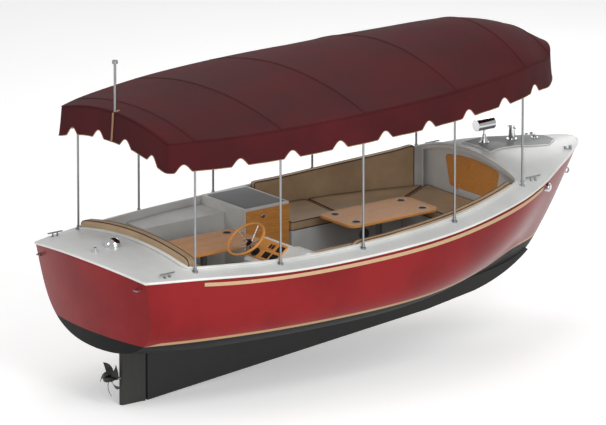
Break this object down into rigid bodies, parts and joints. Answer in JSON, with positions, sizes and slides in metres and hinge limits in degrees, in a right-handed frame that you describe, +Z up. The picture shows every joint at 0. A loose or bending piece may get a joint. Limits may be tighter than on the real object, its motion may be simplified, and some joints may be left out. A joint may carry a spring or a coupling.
{
  "type": "electric day launch",
  "caption": "Electric day launch with red hull, U-shaped seating, tables, wheel helm, scalloped fabric top on posts and a steering leg with propeller.",
  "frame": {"origin": "on the centreline, half way between the transom's corners and the stem head, at the waterline", "axes": "+X forward, +Y to port, +Z up"},
  "size_m": [5.914, 2.5936, 3.3598],
  "materials": {
    "hull_gelcoat": "gloss red gelcoat, black below the waterline, tan stripe",
    "keel_black": "satin black bottom paint",
    "deck_gelcoat": "off-white gelcoat with light grey non-slip",
    "varnished_wood": "varnished teak",
    "grille_plastic": "grey moulded grille",
    "seat_vinyl": "tan marine vinyl with dark piping",
    "black_plastic": "moulded black",
    "stainless": "polished stainless steel",
    "anodised": "anodised",
    "chrome": "bright chrome",
    "canvas": "burgundy woven acrylic canvas",
    "tan_strake": "tan rubbing strake",
    "leg_charcoal": "charcoal painted casting",
    "motor_paint": "grey enamel",
    "bronze": "bearing bronze",
    "prop_black": "black antifoul",
    "battery_case": "black case"
  },
  "bodies": {
    "boat": {"hull_shell": "hull_gelcoat", "keel_skeg": "keel_black", "deck_moulding": "deck_gelcoat", "cockpit_liner": "deck_gelcoat", "cockpit_sole": "deck_gelcoat", "forward_bulkhead": "deck_gelcoat", "seat_bases": "deck_gelcoat", "speaker_grille": "grille_plastic", "cushion_port": "seat_vinyl", "cushion_bow": "seat_vinyl", "cushion_starboard": "seat_vinyl", "cushion_aft": "seat_vinyl", "backrest_port": "seat_vinyl", "backrest_starboard": "seat_vinyl", "backrest_aft": "seat_vinyl", "cabinet_body": "deck_gelcoat", "helm_console": "deck_gelcoat", "dash_panel": "varnished_wood", "gauge_cluster": "black_plastic", "steering_column": "black_plastic", "throttle_base": "stainless", "canopy_posts": "stainless", "canopy_frame": "stainless", "canopy_roof": "canvas", "canopy_valance": "canvas", "stern_light": "stainless", "table_sockets": "anodised", "mooring_fittings": "stainless", "bow_eye": "stainless", "transom_eyes": "stainless", "samson_post": "chrome", "flag_sockets": "chrome", "cowl_vent": "chrome", "sidelights": "chrome", "rub_strakes": "tan_strake", "searchlight_base": "chrome", "rudder_tube": "bronze", "batteries": "battery_case"},
    "rudder": {"rudder_leg": "leg_charcoal", "rudder_stock": "stainless", "tiller_arm": "anodised", "drive_motor": "motor_paint"},
    "drive_shaft": {"drive_shaft": "stainless"},
    "propeller": {"prop_shaft": "stainless", "propeller": "prop_black"},
    "steering_wheel": {"wheel_hub": "stainless", "wheel_rim": "varnished_wood"},
    "throttle": {"throttle_lever": "stainless"},
    "searchlight_yoke": {"searchlight_yoke": "chrome"},
    "searchlight_head": {"searchlight_head": "chrome"},
    "bulkhead_door": {"bulkhead_door": "varnished_wood"},
    "cabinet_door": {"cabinet_door": "varnished_wood"},
    "table_aft": {"table_aft_top": "varnished_wood", "table_aft_leg": "anodised", "table_aft_cups": "stainless"},
    "table_fore": {"table_fore_top": "varnished_wood", "table_fore_leg": "anodised", "table_fore_cups": "stainless"},
    "rocker_lights": {"rocker_lights": "black_plastic"},
    "rocker_pump": {"rocker_pump": "black_plastic"}
  },
  "joints": [
    {"name": "rudder_steer", "type": "hinge", "parent": "boat", "child": "rudder", "pos_m": [-2.3, 0, -0.55], "axis": [0, 0, 1], "range_deg": [-40, 40]},
    {"name": "steering_wheel_turn", "type": "hinge", "parent": "boat", "child": "steering_wheel", "pos_m": [-1.45094, -0.5, 0.72542], "axis": [-0.6139, 0, 0.7894], "range_deg": [-540, 540]},
    {"name": "propeller_spin", "type": "hinge", "parent": "rudder", "child": "propeller", "pos_m": [-2.3, 0, -0.55], "axis": [1, 0, 0], "continuous": true},
    {"name": "drive_shaft_spin", "type": "hinge", "parent": "rudder", "child": "drive_shaft", "pos_m": [-2.3, 0, -0.55], "axis": [0, 0, 1], "continuous": true},
    {"name": "throttle_swing", "type": "hinge", "parent": "boat", "child": "throttle", "pos_m": [-1.735, -0.99, 0.522], "axis": [0, 1, 0], "range_deg": [-40, 40]},
    {"name": "searchlight_pan", "type": "hinge", "parent": "boat", "child": "searchlight_yoke", "pos_m": [1.8, 0, 1.015], "axis": [0, 0, 1], "range_deg": [-170, 170]},
    {"name": "searchlight_tilt", "type": "hinge", "parent": "searchlight_yoke", "child": "searchlight_head", "pos_m": [1.8, 0, 1.12197], "axis": [0, 1, 0], "range_deg": [-25, 25]},
    {"name": "bulkhead_door_drop", "type": "hinge", "parent": "boat", "child": "bulkhead_door", "pos_m": [1.6498, 0, 0.527], "axis": [0, -1, 0], "range_deg": [0, 80]},
    {"name": "cabinet_door_swing", "type": "hinge", "parent": "boat", "child": "cabinet_door", "pos_m": [-0.244, 0.41, 0.3], "axis": [0, 0, 1], "range_deg": [0, 100]},
    {"name": "table_aft_lift", "type": "slide", "parent": "boat", "child": "table_aft", "axis": [0, 0, 1], "range_m": [0, 0.115]},
    {"name": "table_fore_lift", "type": "slide", "parent": "boat", "child": "table_fore", "axis": [0, 0, 1], "range_m": [0, 0.115]},
    {"name": "rocker_lights_tip", "type": "hinge", "parent": "boat", "child": "rocker_lights", "pos_m": [-1.24497, -0.615, 0.64466], "axis": [0, 1, 0], "range_deg": [-7, 7]},
    {"name": "rocker_pump_tip", "type": "hinge", "parent": "boat", "child": "rocker_pump", "pos_m": [-1.24497, -0.657, 0.64466], "axis": [0, 1, 0], "range_deg": [-7, 7]}
  ],
  "couplings": [
    {"joint": "steering_wheel_turn", "follows": "rudder_steer", "ratio": -13.5},
    {"joint": "drive_shaft_spin", "follows": "propeller_spin", "ratio": 1}
  ]
}
